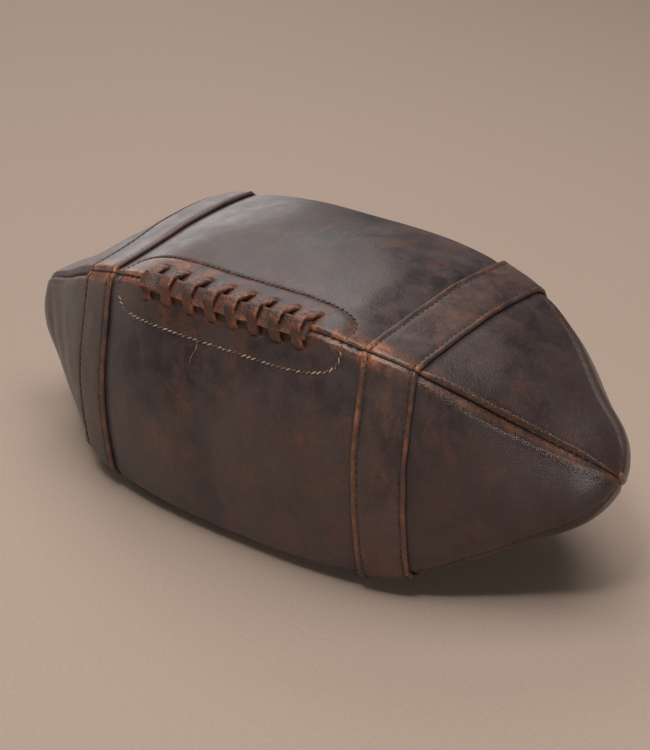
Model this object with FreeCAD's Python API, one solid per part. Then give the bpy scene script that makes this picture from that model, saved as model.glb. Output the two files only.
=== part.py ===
import FreeCAD, Part
import math
import os

# Laced leather ball, rested on its bottom panel, in millimetres.
# +X runs along the ball from tip to tip, +Z is up and -Y is the front.
# The origin is on the rest face, under the middle of the ball.
# The four panels meet at four long seams; the seam between front and top carries the laces.

# ---- driving dimensions ----
HALF_LENGTH = 140.0
AXIS_HEIGHT = 54.0          # long axis above the rest face
LEATHER = 1.8               # panel thickness
FLANGE_DEPTH = 6.5          # how far a panel's edge is turned in along a seam
FLANGE_STUB = 0.1           # how far it is still turned in at the very tips
BAND_WIDTH = 19.8
BAND_THICKNESS = 1.4
BAND_CENTRE_LEFT = -72.7
BAND_CENTRE_RIGHT = 69.8
LINING = 0.8
PATCH_THICKNESS = 1.2
LACE_THICKNESS = 1.3
LACE_WIDTH = 4.3
LACE_COUNT = 8
LACE_PITCH = 10.7
LACE_START = -39.2
LACE_REACH_TOP = 9.3        # seam to hole on the top panel
LACE_REACH_FRONT = 7.0      # seam to hole on the front panel
STRAND_WIDTH = 6.0
STRAND_START = -42.5
STRAND_END = 38.0
OVAL_CENTRE = -2.8
OVAL_HALF_LENGTH = 55.5
OVAL_HALF_WIDTH = 18.2
OVAL_FLARE = 2.9            # extra half width towards the oval's ends
OVAL_POWER = 3.4
ARC_STRETCH = 1.12          # true arc beside a seam over the arc of a circle of the seam radius
STITCH_PITCH = 3.3
STITCH_LENGTH = 2.1
THREAD = 0.6
STITCH_INSET = 2.2          # stitch row to band edge
FIT_GAP = 0.05              # clearance between layers
BLADDER_SHARE = 0.68        # bladder radius as a share of the seam radius
BLADDER_CLEARANCE = 1.5
BLADDER_WALL = 0.9
BLADDER_HALF_LENGTH = 129.0
BLADDER_LEFT_SLIMMING = 8.0     # how much further in the bladder stays at the ball's narrow left end
BLADDER_RIGHT_SLIMMING = 6.0
STEM_RADIUS = 4.5
STEM_BORE = 3.0
STEM_X = -2.0
STEM_END = 52.4             # from the long axis
TONGUE_DEPTH = 9.8
TONGUE_THICKNESS = 1.3
TONGUE_HALF_WIDTH = 8.0
TONGUE_HALF_LENGTH = 44.0
TONGUE_BEND = 12.0          # the tongue's sides drop by the square of the width over this
END_PATCH_RADIUS = 5.8
END_PATCH_THICKNESS = 1.5
END_PATCH_ROUNDING = 0.6
END_PATCH_PLACE = 130.8     # inner face of an end patch, along the ball from its middle
TAB_LENGTH = 2.2
TAB_WIDTH = 5.0
TAB_THICKNESS = 1.8
TAB_ROUNDING = 0.7

# ---- seam radii against distance along the ball (x, radius), measured from the long axis ----
SEAM_HALF = ((0, 71.5), (35, 70.5), (62, 66.3), (84, 57.8), (101.5, 45.5), (121, 29.5),
             (131, 21.0), (136.5, 13.0), (139.2, 5.5), (140, 0.0))
LACED_SEAM = ((-140, 0), (-137, 7.5), (-129, 17.5), (-115, 27), (-94, 42.5), (-81, 50.5),
              (-61.5, 60), (-50, 64), (-5, 66), (33, 69.5), (45, 70.5), (60, 65.5), (81, 57.5),
              (94, 49), (108, 35.5), (118, 25), (130, 14.5), (137, 7.5), (140, 0))
LEFT_SLIMMING = {"back_top": 0.24, "bottom_front": 0.055, "back_bottom": 0.0}     # share, at the left end
RIGHT_SLIMMING = {"back_top": 0.12, "bottom_front": 0.0, "back_bottom": 0.0}      # share, at the right end

# ---- panels: middle angle, then the seams on the plus and minus sides ----
PANELS = {
    "top": (90.0, "laced", "back_top"),
    "front": (180.0, "bottom_front", "laced"),
    "back": (0.0, "back_top", "back_bottom"),
    "bottom": (-90.0, "back_bottom", "bottom_front"),
}
HALF_ANGLE = 45.0
COS_HALF = math.cos(math.radians(HALF_ANGLE))
END_STATION = 0.985         # the panels stop just short of the tips
REST_SOFT = 2.0             # how gently the bottom panel turns flat
REST_BIAS = 1.0             # flattening level below the rest face, before it is trimmed


def smooth(x, low, high):
    """Smooth step from 0 at low to 1 at high."""
    share = min(max((x - low) / (high - low), 0.0), 1.0)
    return share * share * (3 - 2 * share)


def hump(x, centre, width):
    """Bell curve of height 1."""
    return math.exp(-((x - centre) / width) ** 2)


def station_x(u):
    """Place along the ball for station u, from -1 at the left tip to 1 at the right tip."""
    return HALF_LENGTH * math.sin(math.pi * u / 2)


def x_station(x):
    """The station u at a place x along the ball."""
    return math.asin(min(max(x / HALF_LENGTH, -1.0), 1.0)) * 2 / math.pi


def profile(points):
    """Smooth curve through (x, radius) points, as a function of the station u."""
    places = [x_station(x) for x, _ in points]
    radii = [float(r) for _, r in points]
    spans = [b - a for a, b in zip(places, places[1:])]
    rises = [(b - a) / s for a, b, s in zip(radii, radii[1:], spans)]
    slopes = [rises[0]]
    for i in range(1, len(points) - 1):
        both = spans[i] + spans[i - 1]
        slopes.append((rises[i - 1] * spans[i] + rises[i] * spans[i - 1]) / both)
    slopes.append(rises[-1])

    def radius(u):
        u = min(max(u, places[0]), places[-1])
        i = 0
        while i < len(spans) - 1 and u > places[i + 1]:
            i += 1
        s = (u - places[i]) / spans[i]
        return ((1 + 2 * s) * (1 - s) ** 2 * radii[i] + s * (1 - s) ** 2 * spans[i] * slopes[i]
                + s * s * (3 - 2 * s) * radii[i + 1] + s * s * (s - 1) * spans[i] * slopes[i + 1])

    return radius


plain_radius = profile([(-x, r) for x, r in reversed(SEAM_HALF[1:])] + list(SEAM_HALF))
laced_radius = profile(LACED_SEAM)


def seam_radius(seam, u):
    """Distance of a seam from the long axis."""
    if seam == "laced":
        return laced_radius(u)
    x = station_x(u)
    slimming = LEFT_SLIMMING[seam] * smooth(-x, 74, 120) + RIGHT_SLIMMING[seam] * smooth(x, 98, 124)
    return plain_radius(u) * (1 - slimming)


def roundness(panel, x):
    """How round a panel's cross-section is: 0 is a flat chord, 1 is a full arc, more is puffed out."""
    if panel == "top":
        waists = 0.26 * hump(x, BAND_CENTRE_LEFT, 26) + 0.20 * hump(x, BAND_CENTRE_RIGHT, 26)
        return 0.33 - waists + 0.10 * smooth(x, 100, 135) - 0.25 * smooth(-x, 92, 128)
    if panel == "front":
        return 0.34 - 0.05 * (hump(x, BAND_CENTRE_LEFT, 30) + hump(x, BAND_CENTRE_RIGHT, 30))
    if panel == "back":
        return 0.38 + 1.10 * smooth(x, 45, 125)
    waists = 0.04 * (hump(x, BAND_CENTRE_LEFT, 26) + hump(x, BAND_CENTRE_RIGHT, 26))
    return 0.30 - waists + 0.35 * smooth(x, 95, 132) + 0.15 * smooth(-x, 95, 132)


def raw_point(panel, u, t):
    """A point of a panel's outer face, before the bottom is flattened. t is -1 to 1 across."""
    middle, plus_seam, minus_seam = PANELS[panel]
    share = smooth(t, -1, 1)
    reach = seam_radius(plus_seam, u) * share + seam_radius(minus_seam, u) * (1 - share)
    b = roundness(panel, station_x(u))
    radius = reach * ((1 - b) * COS_HALF / math.cos(math.radians(HALF_ANGLE * t)) + b)
    angle = math.radians(middle + HALF_ANGLE * t)
    return FreeCAD.Vector(station_x(u), radius * math.cos(angle), radius * math.sin(angle))


def raw_normal(panel, u, t):
    """Outward normal of a panel's outer face."""
    step = 1e-3
    along = raw_point(panel, u + step, t) - raw_point(panel, u - step, t)
    across = raw_point(panel, u, t + step) - raw_point(panel, u, t - step)
    normal = along.cross(across)
    normal.normalize()
    if normal.dot(raw_point(panel, u, t)) < 0:
        normal = normal * -1
    return normal


def panel_point(panel, u, t, depth):
    """A point at a depth under a panel's outer face, moved only within the plane through the
    long axis, so that the seam faces of two neighbours stay flat. The row's origin applies."""
    point = raw_point(panel, u, t)
    normal = raw_normal(panel, u, t)
    angle = math.radians(PANELS[panel][0] + HALF_ANGLE * t)
    outward = FreeCAD.Vector(0, math.cos(angle), math.sin(angle))
    in_plane = FreeCAD.Vector(normal.x, 0, 0) + outward * normal.dot(outward)
    point = point - in_plane * (depth / in_plane.dot(in_plane))
    height = point.z + AXIS_HEIGHT
    if panel == "bottom":
        level = depth - REST_BIAS
        height = level + REST_SOFT * math.log(1 + math.exp((height - level) / REST_SOFT))
    return FreeCAD.Vector(point.x, point.y, height)


# ---- spline faces and solids ----
def spline_poles(points):
    """Poles, degree, knots and multiplicities of the curve through evenly spaced parameters."""
    if len(points) == 2:
        return list(points), 1, [0.0, 1.0], [2, 2]
    curve = Part.BSplineCurve()
    params = [i / (len(points) - 1) for i in range(len(points))]
    curve.interpolate(Points=points, Parameters=params)
    return curve.getPoles(), curve.Degree, curve.getKnots(), curve.getMultiplicities()


def skin(grid):
    """Face through a grid of points. Faces that share a row of points share that edge exactly."""
    columns = [spline_poles([row[j] for row in grid]) for j in range(len(grid[0]))]
    _, u_degree, u_knots, u_mults = columns[0]
    rows = [spline_poles([column[0][i] for column in columns]) for i in range(len(columns[0][0]))]
    _, v_degree, v_knots, v_mults = rows[0]
    surface = Part.BSplineSurface()
    surface.buildFromPolesMultsKnots([row[0] for row in rows], u_mults, v_mults, u_knots, v_knots,
                                     False, False, u_degree, v_degree)
    return surface.toShape()


def spread(low, high, count):
    """Evenly spaced values, both ends included."""
    return [low + (high - low) * i / (count - 1) for i in range(count)]


def solid_from(faces):
    """Closed solid of faces that share their edges."""
    shell = Part.makeShell(faces)
    shell.sewShape()
    solid = Part.makeSolid(shell.Shells[0])
    if solid.Volume < 0:
        solid.reverse()
    return solid


def block(place, lengths, widths, depths, filled):
    """Solid of filled cells in a curved grid. place(a, b, c) gives a point; lengths is one list
    of values along the piece, widths a list of lists across it, depths the layer borders."""
    faces = []
    first, last = lengths[0], lengths[-1]
    for w, cell in enumerate(widths):
        for d in range(len(depths) - 1):
            if (w, d) not in filled:
                continue
            near, far = depths[d], depths[d + 1]
            if (w, d - 1) not in filled:
                faces.append(skin([[place(a, b, near) for b in cell] for a in lengths]))
            if (w, d + 1) not in filled:
                faces.append(skin([[place(a, b, far) for b in cell] for a in lengths]))
            if (w - 1, d) not in filled:
                faces.append(skin([[place(a, cell[0], c) for c in (near, far)] for a in lengths]))
            if (w + 1, d) not in filled:
                faces.append(skin([[place(a, cell[-1], c) for c in (near, far)] for a in lengths]))
            for a in (first, last):
                faces.append(skin([[place(a, b, c) for c in (near, far)] for b in cell]))
    return solid_from(faces)


def sheet(place, lengths, widths, top, bottom):
    """Solid of one layer between two depths."""
    return block(place, lengths, [widths], [top, bottom], {(0, 0)})


def save(name, shape):
    """Write one node, and print its size."""
    shape.exportStep("parts/%s.step" % name)
    box = shape.BoundBox
    sizes = (box.XMin, box.XMax, box.ZMin, box.ZMax)
    print("%-28s solids %3d  valid %s  volume %9.1f" % (name, len(shape.Solids), shape.isValid(), shape.Volume),
          "x %.1f..%.1f z %.1f..%.1f" % sizes)


# ---- panels ----
def edge_share(u):
    """The share of a panel's half width that its turned-in edge takes up."""
    return min(0.22, LEATHER / (seam_radius("back_bottom", u) * math.radians(HALF_ANGLE)))


def flange_depth(u):
    """Depth of the turned-in edge, which runs out towards the tips."""
    tip_distance = 1 - abs(u)
    return LEATHER + FLANGE_STUB + (FLANGE_DEPTH - LEATHER) * smooth(tip_distance, 0.03, 0.35)


def panel_solid(panel):
    """A leather panel with its two long edges turned in, for sewing."""
    edge = 0.999

    def place(u, column, layer):
        border = edge - edge_share(u)
        if abs(column) <= 1:
            t = column * border
        else:
            t = math.copysign(border + (abs(column) - 1) * (edge - border), column)
        if layer <= 1:
            depth = LEATHER * layer
        else:
            depth = LEATHER + (layer - 1) * (flange_depth(u) - LEATHER)
        return panel_point(panel, u, t, depth)

    columns = [[-2.0, -1.0], spread(-1, 1, 9), [1.0, 2.0]]
    filled = {(0, 0), (1, 0), (2, 0), (0, 1), (2, 1)}
    return block(place, spread(-END_STATION, END_STATION, 33), columns, [0.0, 1.0, 2.0], filled)


def lining_solid(panel):
    """Cloth lining that backs a panel between its two turned-in edges."""
    def place(u, share, depth):
        return panel_point(panel, u, share * (0.985 - edge_share(u)), depth)

    top = LEATHER + FIT_GAP
    return sheet(place, spread(-0.9, 0.9, 25), spread(-1, 1, 7), top, top + LINING)


def arc_to_t(panel, u, arc):
    """Turn a distance from the laced seam into t. The front panel's seam is at its minus side."""
    side = 1.0 if panel == "top" else -1.0
    width = math.radians(HALF_ANGLE) * laced_radius(u) * ARC_STRETCH
    return side * (1 - arc / width)


def band_solid(panel, centre):
    """One leg of a sewn-on band, lying on one panel from seam to seam."""
    def place(x, t, depth):
        return panel_point(panel, x_station(x), t, depth)

    places = spread(centre - BAND_WIDTH / 2, centre + BAND_WIDTH / 2, 5)
    return sheet(place, places, spread(-0.998, 0.998, 11), -FIT_GAP - BAND_THICKNESS, -FIT_GAP)


# ---- stitches ----
def stitch(start, end, normal):
    """One exposed length of thread, lying between two points of a surface."""
    along = end - start
    length = along.Length
    along.normalize()
    side = normal.cross(along)
    side.normalize()
    up = along.cross(side)
    corner = start - side * (THREAD / 2)
    matrix = FreeCAD.Matrix(along.x, side.x, up.x, corner.x, along.y, side.y, up.y, corner.y,
                            along.z, side.z, up.z, corner.z, 0, 0, 0, 1)
    box = Part.makeBox(length, THREAD, THREAD * 0.6)
    box.Placement = FreeCAD.Placement(matrix)
    return box


def stitch_row(place, start, end, length):
    """Stitches along place(s, depth) as s goes from start to end over the given length."""
    count = int(length / STITCH_PITCH)
    step = (end - start) / count
    drawn = STITCH_LENGTH / STITCH_PITCH * step / 2
    row = []
    for i in range(count):
        middle = start + step * (i + 0.5)
        base = place(middle, 0.0)
        normal = place(middle, -1.0) - base
        row.append(stitch(place(middle - drawn, 0.0), place(middle + drawn, 0.0), normal))
    return row


def band_stitches(centre):
    """Two rows of stitches along the edges of a band, on all four panels."""
    rows = []
    for panel in PANELS:
        for side in (-1, 1):
            x = centre + side * (BAND_WIDTH / 2 - STITCH_INSET)
            u = x_station(x)
            lift = BAND_THICKNESS + 2 * FIT_GAP

            def place(t, depth, panel=panel, u=u, lift=lift):
                return panel_point(panel, u, t, depth - lift)

            points = [place(t, 0.0) for t in spread(-0.97, 0.97, 15)]
            length = sum((b - a).Length for a, b in zip(points, points[1:]))
            rows += stitch_row(place, -0.97, 0.97, length)
    return Part.makeCompound(rows)


def seam_stitches(minus_panel, plus_panel):
    """Thread through the turned-in edges of two panels: it shows on both inner sides."""
    rows = []
    reach = 118.0
    for panel, side in ((minus_panel, 1.0), (plus_panel, -1.0)):
        for i in range(int(2 * reach / (2 * STITCH_PITCH))):
            x = -reach + 2 * STITCH_PITCH * (i + 0.5) + side * STITCH_PITCH / 2
            u_low, u_high = x_station(x - STITCH_LENGTH / 2), x_station(x + STITCH_LENGTH / 2)
            t = side * (0.996 - edge_share(x_station(x)))
            depth = 0.62 * flange_depth(x_station(x)) + 0.38 * LEATHER
            start = panel_point(panel, u_low, t, depth)
            end = panel_point(panel, u_high, t, depth)
            inward = panel_point(panel, u_low, t * 0.98, depth) - start
            rows.append(stitch(start, end, inward))
    return Part.makeCompound(rows)


def oval_half_width(x):
    """Half width of the stitched oval around the laces."""
    share = min(abs((x - OVAL_CENTRE) / OVAL_HALF_LENGTH), 1.0)
    flare = OVAL_HALF_WIDTH + OVAL_FLARE * share ** 2
    return flare * (1 - share ** OVAL_POWER) ** (1 / OVAL_POWER)


def oval_point(panel, angle, depth):
    """A point on the oval stitch line. angle runs from 0 at the right end to 180 at the left."""
    power = 2 / OVAL_POWER
    c, s = math.cos(math.radians(angle)), math.sin(math.radians(angle))
    share = math.copysign(abs(c) ** power, c)
    u = x_station(OVAL_CENTRE + OVAL_HALF_LENGTH * share)
    arc = (OVAL_HALF_WIDTH + OVAL_FLARE * share ** 2) * abs(s) ** power
    return panel_point(panel, u, arc_to_t(panel, u, arc + 0.6), depth)


def oval_stitches(panel):
    """The stitches of one half of the oval, evenly spaced along its length."""
    lift = 2 * FIT_GAP
    fine = spread(0.6, 179.4, 900)
    points = [oval_point(panel, angle, -lift) for angle in fine]
    travelled = [0.0]
    for a, b in zip(points, points[1:]):
        travelled.append(travelled[-1] + (b - a).Length)

    def angle_at(distance):
        i = 1
        while i < len(travelled) - 1 and travelled[i] < distance:
            i += 1
        share = (distance - travelled[i - 1]) / (travelled[i] - travelled[i - 1])
        return fine[i - 1] + (fine[i] - fine[i - 1]) * share

    def place(distance, depth):
        return oval_point(panel, angle_at(distance), depth - lift)

    return Part.makeCompound(stitch_row(place, 0.0, travelled[-1], travelled[-1]))


def patch_solid(panel):
    """Leather reinforcement behind one side of the lace holes, inside the lining."""
    margin = 2.5

    def place(x, share, depth):
        u = x_station(x)
        near = LEATHER + 0.5
        far = oval_half_width(x) + margin
        return panel_point(panel, u, arc_to_t(panel, u, near + (far - near) * share), depth)

    top = LEATHER + LINING + 2 * FIT_GAP
    reach = OVAL_HALF_LENGTH - 0.5
    angles = spread(-90, 90, 17)
    places = [OVAL_CENTRE + reach * math.sin(math.radians(a)) for a in angles]
    return sheet(place, places, spread(0, 1, 5), top, top + PATCH_THICKNESS)


# ---- laces ----
def lace_x(index):
    """Place of a crossing lace along the ball."""
    return LACE_START + LACE_PITCH * index


def over_seam(x, arc, depth):
    """A point near the laced seam: arc is positive on the top panel, negative on the front."""
    u = x_station(x)
    panel = "top" if arc >= 0 else "front"
    return panel_point(panel, u, arc_to_t(panel, u, abs(arc)), depth)


def strand_solid():
    """The flat strand that lies along the laced seam under the crossing laces."""
    lengthwise = spread(STRAND_START, STRAND_END, 13)
    crosswise = spread(-STRAND_WIDTH / 2, STRAND_WIDTH / 2, 7)
    return sheet(over_seam, lengthwise, crosswise, -FIT_GAP - LACE_THICKNESS, -FIT_GAP)


def crossing_solid(index):
    """A crossing lace: up out of one hole, over the strand, and down into the other hole."""
    x = lace_x(index)
    hop = 2 * FIT_GAP + LACE_THICKNESS
    reach_down = LEATHER + 0.6

    def place(arc, side, layer):
        span = LACE_REACH_TOP if arc > 0 else LACE_REACH_FRONT
        share = abs(arc) / span
        over = hop * (1 - smooth(abs(arc), STRAND_WIDTH / 2, STRAND_WIDTH / 2 + 2.5))
        down = (reach_down + hop) * smooth(share, 0.80, 1.12)
        return over_seam(x + side * LACE_WIDTH / 2, arc, down - over - FIT_GAP - LACE_THICKNESS * layer)

    arcs = spread(-LACE_REACH_FRONT * 1.1, LACE_REACH_TOP * 1.1, 25)
    return sheet(place, arcs, [-1.0, 0.0, 1.0], 1.0, 0.0)


def hole_cutter(panel, index):
    """Tool for one lace hole: a slot through the leather, the lining and the patch."""
    reach = LACE_REACH_TOP if panel == "top" else LACE_REACH_FRONT

    def place(x, arc, depth):
        u = x_station(x)
        return panel_point(panel, u, arc_to_t(panel, u, arc), depth)

    x = lace_x(index)
    half = LACE_WIDTH / 2 + 0.35
    return sheet(place, spread(x - half, x + half, 3), spread(reach - 1.9, reach + 1.3, 3), -0.5, 5.0)


def tongue_solid():
    """Leather tongue under the laced slit, between the seam and the bladder."""
    angle = math.radians(135.0)
    outward = FreeCAD.Vector(0, math.cos(angle), math.sin(angle))
    sideways = FreeCAD.Vector(0, -outward.z, outward.y)

    def place(x, across, depth):
        radius = laced_radius(x_station(x)) - TONGUE_DEPTH - depth - across ** 2 / TONGUE_BEND
        centre = FreeCAD.Vector(x, 0, AXIS_HEIGHT)
        return centre + outward * radius + sideways * across

    places = spread(OVAL_CENTRE - TONGUE_HALF_LENGTH, OVAL_CENTRE + TONGUE_HALF_LENGTH, 11)
    across = spread(-TONGUE_HALF_WIDTH, TONGUE_HALF_WIDTH, 7)
    return sheet(place, places, across, 0.0, TONGUE_THICKNESS)


# ---- bladder ----
def bladder_body(shrink):
    """Solid of revolution inside the lining, smaller all round by shrink."""
    end = BLADDER_HALF_LENGTH - shrink
    points = []
    for share in spread(-1, 1, 17):
        x = end * math.sin(math.pi * share / 2)
        radius = BLADDER_SHARE * plain_radius(x_station(x)) - BLADDER_CLEARANCE - shrink
        radius -= BLADDER_LEFT_SLIMMING * smooth(-x, 50, 100)
        radius -= BLADDER_RIGHT_SLIMMING * smooth(x, 80, 115)
        points.append(FreeCAD.Vector(x, 0, radius))
    curve = Part.BSplineCurve()
    curve.interpolate(points)
    left, right = FreeCAD.Vector(-end, 0, 0), FreeCAD.Vector(end, 0, 0)
    edges = [curve.toShape()]
    for start, stop in ((points[-1], right), (right, left), (left, points[0])):
        edges.append(Part.LineSegment(start, stop).toShape())
    face = Part.Face(Part.Wire(edges))
    body = face.revolve(FreeCAD.Vector(0, 0, 0), FreeCAD.Vector(1, 0, 0), 360)
    body.translate(FreeCAD.Vector(0, 0, AXIS_HEIGHT))
    return body


def stem_cylinder(radius, start, end):
    """Cylinder on the stem's axis, square to the laced seam, from start to end off the long axis."""
    angle = math.radians(135.0)
    outward = FreeCAD.Vector(0, math.cos(angle), math.sin(angle))
    base = FreeCAD.Vector(STEM_X, 0, AXIS_HEIGHT) + outward * start
    return Part.makeCylinder(radius, end - start, base, outward)


def stem_tie():
    """Two turns of cord that tie the stem shut, as one ring round it."""
    angle = math.radians(135.0)
    outward = FreeCAD.Vector(0, math.cos(angle), math.sin(angle))
    centre = FreeCAD.Vector(STEM_X, 0, AXIS_HEIGHT) + outward * (STEM_END - 2.5)
    cord = 0.8
    return Part.makeTorus(STEM_RADIUS + cord + FIT_GAP, cord, centre, outward)


# ---- tips ----
def end_patch(side):
    """Small leather disc behind the four panel points at one tip."""
    base = FreeCAD.Vector(side * END_PATCH_PLACE, 0, AXIS_HEIGHT)
    disc = Part.makeCylinder(END_PATCH_RADIUS, END_PATCH_THICKNESS, base, FreeCAD.Vector(side, 0, 0))
    return disc.makeFillet(END_PATCH_ROUNDING, disc.Edges)


def tip_tab(side):
    """Small leather tab, the end of the last seam's welt, that shows between the panel points."""
    tab = Part.makeBox(TAB_LENGTH, TAB_THICKNESS, TAB_WIDTH)
    long_edges = [edge for edge in tab.Edges if abs(edge.Length - TAB_WIDTH) < 1e-6]
    tab = tab.makeFillet(TAB_ROUNDING, long_edges)
    start = HALF_LENGTH if side > 0 else -HALF_LENGTH - TAB_LENGTH
    tab.translate(FreeCAD.Vector(start, -TAB_THICKNESS / 2, AXIS_HEIGHT - TAB_WIDTH / 2))
    return tab


def main():
    os.makedirs("parts", exist_ok=True)
    holes = {panel: Part.makeCompound([hole_cutter(panel, i) for i in range(LACE_COUNT)])
             for panel in ("front", "top")}
    below = Part.makeBox(400, 400, 50, FreeCAD.Vector(-200, -200, -50))

    for panel in PANELS:
        leather = panel_solid(panel)
        lining = lining_solid(panel)
        if panel in holes:
            leather = leather.cut(holes[panel])
            lining = lining.cut(holes[panel])
        if panel == "bottom":
            leather = leather.cut(below)
        save("panel_" + panel, leather)
        save("lining_" + panel, lining)

    for name, centre in (("left", BAND_CENTRE_LEFT), ("right", BAND_CENTRE_RIGHT)):
        for panel in PANELS:
            save("band_%s_%s" % (name, panel), band_solid(panel, centre))
        save("band_%s_stitches" % name, band_stitches(centre))

    for panel in ("front", "top"):
        save("lace_patch_" + panel, patch_solid(panel).cut(holes[panel]))
        save("lace_patch_%s_stitches" % panel, oval_stitches(panel))

    save("lace_strand", strand_solid())
    for index in range(LACE_COUNT):
        save("lace_crossing_%d" % (index + 1), crossing_solid(index))
    save("lace_tongue", tongue_solid())

    for pair in (("back", "top"), ("top", "front"), ("front", "bottom"), ("bottom", "back")):
        save("seam_stitches_%s_%s" % pair, seam_stitches(*pair))

    stem_start = BLADDER_SHARE * plain_radius(0) - BLADDER_CLEARANCE - BLADDER_WALL
    outer = stem_cylinder(STEM_RADIUS, stem_start, STEM_END)
    bladder = bladder_body(0.0).cut(bladder_body(BLADDER_WALL))
    save("bladder", bladder.cut(stem_cylinder(STEM_RADIUS + FIT_GAP, stem_start - 2, STEM_END)))
    save("bladder_stem", outer.cut(stem_cylinder(STEM_BORE, stem_start - 1, STEM_END + 1)))
    save("stem_plug", stem_cylinder(STEM_BORE - FIT_GAP, STEM_END - 6, STEM_END))
    save("stem_tie", stem_tie())

    for name, side in (("left", -1), ("right", 1)):
        save("end_patch_" + name, end_patch(side))
        save("tip_tab_" + name, tip_tab(side))


main()
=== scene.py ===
import math
import bpy
import numpy as np
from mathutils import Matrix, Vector, noise


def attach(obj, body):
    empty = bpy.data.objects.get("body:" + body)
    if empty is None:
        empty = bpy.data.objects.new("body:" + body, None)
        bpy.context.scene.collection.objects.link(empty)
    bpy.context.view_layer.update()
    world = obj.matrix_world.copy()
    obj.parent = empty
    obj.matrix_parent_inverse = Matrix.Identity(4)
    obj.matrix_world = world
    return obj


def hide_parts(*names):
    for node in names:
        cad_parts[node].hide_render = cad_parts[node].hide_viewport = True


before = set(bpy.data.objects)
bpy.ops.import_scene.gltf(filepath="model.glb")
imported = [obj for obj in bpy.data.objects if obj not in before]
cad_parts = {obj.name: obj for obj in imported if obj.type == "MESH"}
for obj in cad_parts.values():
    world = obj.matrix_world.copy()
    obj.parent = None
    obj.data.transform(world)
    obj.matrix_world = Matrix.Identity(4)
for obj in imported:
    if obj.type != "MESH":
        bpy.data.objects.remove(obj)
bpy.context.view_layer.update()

# Looks of the laced leather ball. Lengths here are in millimetres and turn into metres in the
# mesh builders. +X runs from tip to tip, -Y is the front, the floor is at z = 0.
MM = 0.001

# ---- driving dimensions ----
HALF_LENGTH = 140.0
AXIS_HEIGHT = 54.0
LEATHER = 1.8
LINING = 0.8
PATCH_THICKNESS = 1.2
BAND_WIDTH = 19.8
BAND_CENTRES = {"left": -72.7, "right": 69.8}
BAND_SEAM_SHARE = 0.85      # how far a band follows the rolled edges under it
BAND_EDGE_WEAR = {("right", "front"): 0.95, ("left", "front"): 0.9,
                  ("right", "top"): 0.45, ("left", "top"): 0.35}
PLAIN_EDGE_WEAR = 0.5       # of the band legs that aren't in the table
LACE_WIDTH = 4.6
LACE_THICKNESS = 1.7
LACE_COUNT = 8
LACE_PITCH = 10.7
LACE_START = -39.2
LACE_REACH = {"top": 9.3, "front": 7.0}
STRAND_WIDTH = 7.2
STRAND_START = -41.4
STRAND_END = 38.0
OVAL_CENTRE = -2.8
OVAL_HALF_LENGTH = 55.5
OVAL_HALF_WIDTH = 18.2
OVAL_FLARE = 2.9
OVAL_POWER = 3.4
ARC_STRETCH = 1.12
STITCH_INSET = 2.2
BAND_PITCH = 2.9
OVAL_PITCH = 2.4
SEAM_PITCH = 3.3
LOOSE_PITCH = 0.9           # so fine that the pieces of a loose thread run together
BAND_STITCH = (2.2, 0.30, 0.10)     # length, thread radius and slant in radians
OVAL_STITCH = (2.3, 0.32, 0.42)
SEAM_STITCH = (2.2, 0.26, 0.25)
BAND_STITCH_HEIGHT = 1.10
OVAL_STITCH_SINK = 0.16
SEAM_STITCH_SINK = 0.10
SEAM_THREAD_SPAN = (-132, 134)
END_STATION = 0.985         # where the panels end, short of the tips
FLOOR_SOFT = 0.7            # how gently the bottom panel turns flat on the floor
FLOOR_GAP = 0.05
SEAM_GAP = 0.03             # half the gap between two panels
OVAL_PUFF = 0.30            # how far the padded oval stands out
OVAL_GROOVE = 0.42          # depth of the groove along its stitches
BAND_DIP = 0.35             # depth of the dip beside each band
HOLE_DIMPLE = 1.2           # depth of the dimple at each lace hole
BROAD_RUMPLE = 0.75         # depth and size of the slack leather's rumples
BROAD_RUMPLE_SIZE = 46.0
FINE_RUMPLE = 0.24
FINE_RUMPLE_SIZE = 16.0
PANEL_GRID = {"front": (320, 130), "top": (320, 130), "back": (180, 76), "bottom": (180, 76)}
LINING_GRID = (130, 60)
LINING_STATION = 0.84
BLADDER_STATION = 0.74
BLADDER_SHARE = 0.80        # of the ball's radius, less the inset
BLADDER_INSET = 6.0
BAND_COLUMNS = 96
BAND_FLANGE = 2.5
FLANGE = 4.0                # how far a panel's edge is turned in
LINING_MARGIN = 2.6         # from a lining's edge to the seam
PATCH_MARGIN = 2.6          # from a lace patch's edge to the seam
PATCH_OVERHANG = 1.5        # how far a lace patch passes the oval's stitches
END_PATCH_PLACE = 130.8
END_PATCH_RINGS = ((0.0, 5.0), (0.12, 5.4), (0.5, 5.7), (1.0, 5.7), (1.38, 5.4), (1.5, 5.0))
TAB_WIDTH = 3.6
TAB_THICKNESS = 1.5
# Rubbed patches of the top panel, as (strength, x, length, arc from the laced seam, width).
RUBBED_PATCHES = ((0.95, -37, 13, 14.5, 4.5), (0.45, 8, 14, 24, 4), (0.40, -20, 9, 62, 6))

SEAM_HALF = ((0, 71.5), (35, 70.5), (62, 66.3), (84, 57.8), (101.5, 45.5), (121, 29.5),
             (131, 21.0), (136.5, 13.0), (139.2, 5.5), (140, 0.0))
LACED_SEAM = ((-140, 0), (-137, 7.5), (-129, 17.5), (-115, 27), (-94, 42.5), (-81, 50.5),
              (-61.5, 60), (-50, 64), (-5, 66), (33, 69.5), (45, 70.5), (60, 65.5), (81, 57.5),
              (94, 49), (108, 35.5), (118, 25), (130, 14.5), (137, 7.5), (140, 0))
LEFT_FOLDS = ((-126, 6, 0.42, 3.4), (-114, 9, 0.34, 4.2), (-100, 11, 0.22, 4.6))
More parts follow.
